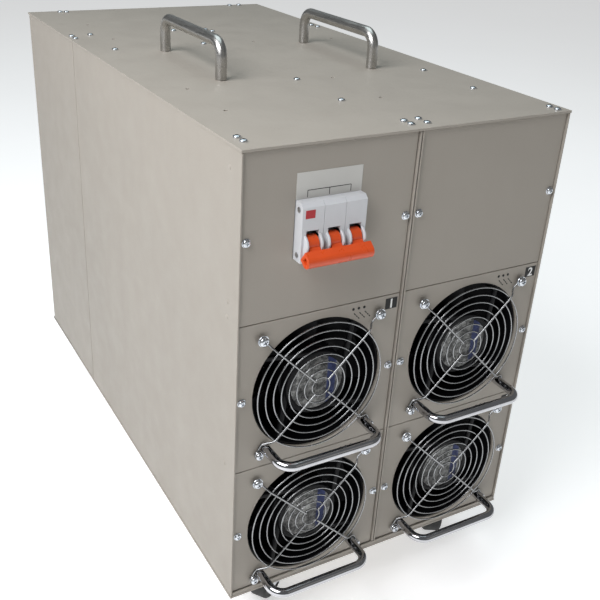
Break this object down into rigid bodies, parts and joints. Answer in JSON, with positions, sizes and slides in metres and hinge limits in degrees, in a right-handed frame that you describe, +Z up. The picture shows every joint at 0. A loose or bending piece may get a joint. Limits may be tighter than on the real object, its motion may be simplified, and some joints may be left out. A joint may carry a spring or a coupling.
{
  "type": "modular power supply cabinet",
  "caption": "Wheeled sheet-metal cabinet of plug-in power modules, each with a guarded axial fan and a pull handle, and a three-pole breaker above them.",
  "frame": {"origin": "Middle of the bounding box in plan, on the floor the casters stand on.", "axes": "+X to the cabinet's right seen from the front, +Y to the rear (the fans and handles face -Y), +Z up."},
  "size_m": [0.296, 0.6126, 0.4931],
  "materials": {
    "paint": "fine-textured powder coat, warm pebble grey",
    "brushed_bar": "satin round bar",
    "bright_bar": "bright plated round bar",
    "zinc": "bright zinc plate",
    "aluminium": "plain mill finish",
    "black_plastic": "moulded, slightly satin",
    "breaker_white": "smooth moulded",
    "toggle_orange": "smooth moulded",
    "wheel_black": "hard moulded tread"
  },
  "bodies": {
    "cabinet": {"base_plate": "paint", "top_cover": "paint", "left_side_panel_front": "paint", "left_side_panel_rear": "paint", "right_side_panel_front": "paint", "right_side_panel_rear": "paint", "divider_left": "paint", "divider_right": "paint", "shelf_left_lower": "paint", "shelf_left_upper": "paint", "shelf_right_lower": "paint", "shelf_right_upper": "paint", "rear_panel": "paint", "breaker_panel": "paint", "blank_panel": "paint", "top_handle_left": "brushed_bar", "top_handle_right": "brushed_bar", "mains_cable_gland": "black_plastic", "output_terminal_board": "black_plastic", "breaker_body": "breaker_white", "din_rail": "zinc", "front_left_caster_plate": "zinc", "front_right_caster_plate": "zinc", "rear_left_caster_bracket": "zinc", "rear_right_caster_bracket": "zinc"},
    "breaker_toggle": {"breaker_toggle": "toggle_orange"},
    "module_1": {"module_1_front_panel": "paint", "module_1_chassis": "aluminium", "module_1_heat_sink": "aluminium", "module_1_fan_frame": "black_plastic", "module_1_fan_guard": "zinc", "module_1_handle": "bright_bar"},
    "fan_rotor_1": {"module_1_fan_rotor": "black_plastic"},
    "module_2": {"module_2_front_panel": "paint", "module_2_chassis": "aluminium", "module_2_heat_sink": "aluminium", "module_2_fan_frame": "black_plastic", "module_2_fan_guard": "zinc", "module_2_handle": "bright_bar"},
    "fan_rotor_2": {"module_2_fan_rotor": "black_plastic"},
    "module_3": {"module_3_front_panel": "paint", "module_3_chassis": "aluminium", "module_3_heat_sink": "aluminium", "module_3_fan_frame": "black_plastic", "module_3_fan_guard": "zinc", "module_3_handle": "bright_bar"},
    "fan_rotor_3": {"module_3_fan_rotor": "black_plastic"},
    "module_4": {"module_4_front_panel": "paint", "module_4_chassis": "aluminium", "module_4_heat_sink": "aluminium", "module_4_fan_frame": "black_plastic", "module_4_fan_guard": "zinc", "module_4_handle": "bright_bar"},
    "fan_rotor_4": {"module_4_fan_rotor": "black_plastic"},
    "front_left_caster_fork": {"front_left_caster_fork": "zinc"},
    "front_left_caster_wheel": {"front_left_caster_wheel": "wheel_black"},
    "front_right_caster_fork": {"front_right_caster_fork": "zinc"},
    "front_right_caster_wheel": {"front_right_caster_wheel": "wheel_black"},
    "rear_left_caster_wheel": {"rear_left_caster_wheel": "wheel_black"},
    "rear_right_caster_wheel": {"rear_right_caster_wheel": "wheel_black"}
  },
  "joints": [
    {"name": "breaker_toggle_hinge", "type": "hinge", "parent": "cabinet", "child": "breaker_toggle", "pos_m": [-0.0765, -0.27765, 0.3845], "axis": [-1, 0, 0], "range_deg": [0, 72]},
    {"name": "module_1_slide", "type": "slide", "parent": "cabinet", "child": "module_1", "axis": [0, -1, 0], "range_m": [0, 0.4]},
    {"name": "fan_1_spin", "type": "hinge", "parent": "module_1", "child": "fan_rotor_1", "pos_m": [-0.07405, -0.25065, 0.2569], "axis": [0, 1, 0], "continuous": true},
    {"name": "module_2_slide", "type": "slide", "parent": "cabinet", "child": "module_2", "axis": [0, -1, 0], "range_m": [0, 0.4]},
    {"name": "fan_2_spin", "type": "hinge", "parent": "module_2", "child": "fan_rotor_2", "pos_m": [0.07405, -0.25065, 0.2569], "axis": [0, 1, 0], "continuous": true},
    {"name": "module_3_slide", "type": "slide", "parent": "cabinet", "child": "module_3", "axis": [0, -1, 0], "range_m": [0, 0.4]},
    {"name": "fan_3_spin", "type": "hinge", "parent": "module_3", "child": "fan_rotor_3", "pos_m": [-0.07405, -0.25065, 0.124], "axis": [0, 1, 0], "continuous": true},
    {"name": "module_4_slide", "type": "slide", "parent": "cabinet", "child": "module_4", "axis": [0, -1, 0], "range_m": [0, 0.4]},
    {"name": "fan_4_spin", "type": "hinge", "parent": "module_4", "child": "fan_rotor_4", "pos_m": [0.07405, -0.25065, 0.124], "axis": [0, 1, 0], "continuous": true},
    {"name": "front_left_caster_swivel", "type": "hinge", "parent": "cabinet", "child": "front_left_caster_fork", "pos_m": [-0.102, -0.23915, 0.05], "axis": [0, 0, 1], "continuous": true},
    {"name": "front_left_caster_roll", "type": "hinge", "parent": "front_left_caster_fork", "child": "front_left_caster_wheel", "pos_m": [-0.08744, -0.22857, 0.0225], "axis": [-0.5878, 0.809, 0], "continuous": true},
    {"name": "front_right_caster_swivel", "type": "hinge", "parent": "cabinet", "child": "front_right_caster_fork", "pos_m": [0.102, -0.23915, 0.05], "axis": [0, 0, 1], "continuous": true},
    {"name": "front_right_caster_roll", "type": "hinge", "parent": "front_right_caster_fork", "child": "front_right_caster_wheel", "pos_m": [0.111, -0.22356, 0.0225], "axis": [-0.866, 0.5, 0], "continuous": true},
    {"name": "rear_left_caster_roll", "type": "hinge", "parent": "cabinet", "child": "rear_left_caster_wheel", "pos_m": [-0.102, 0.23635, 0.0225], "axis": [1, 0, 0], "continuous": true},
    {"name": "rear_right_caster_roll", "type": "hinge", "parent": "cabinet", "child": "rear_right_caster_wheel", "pos_m": [0.102, 0.23635, 0.0225], "axis": [1, 0, 0], "continuous": true}
  ]
}
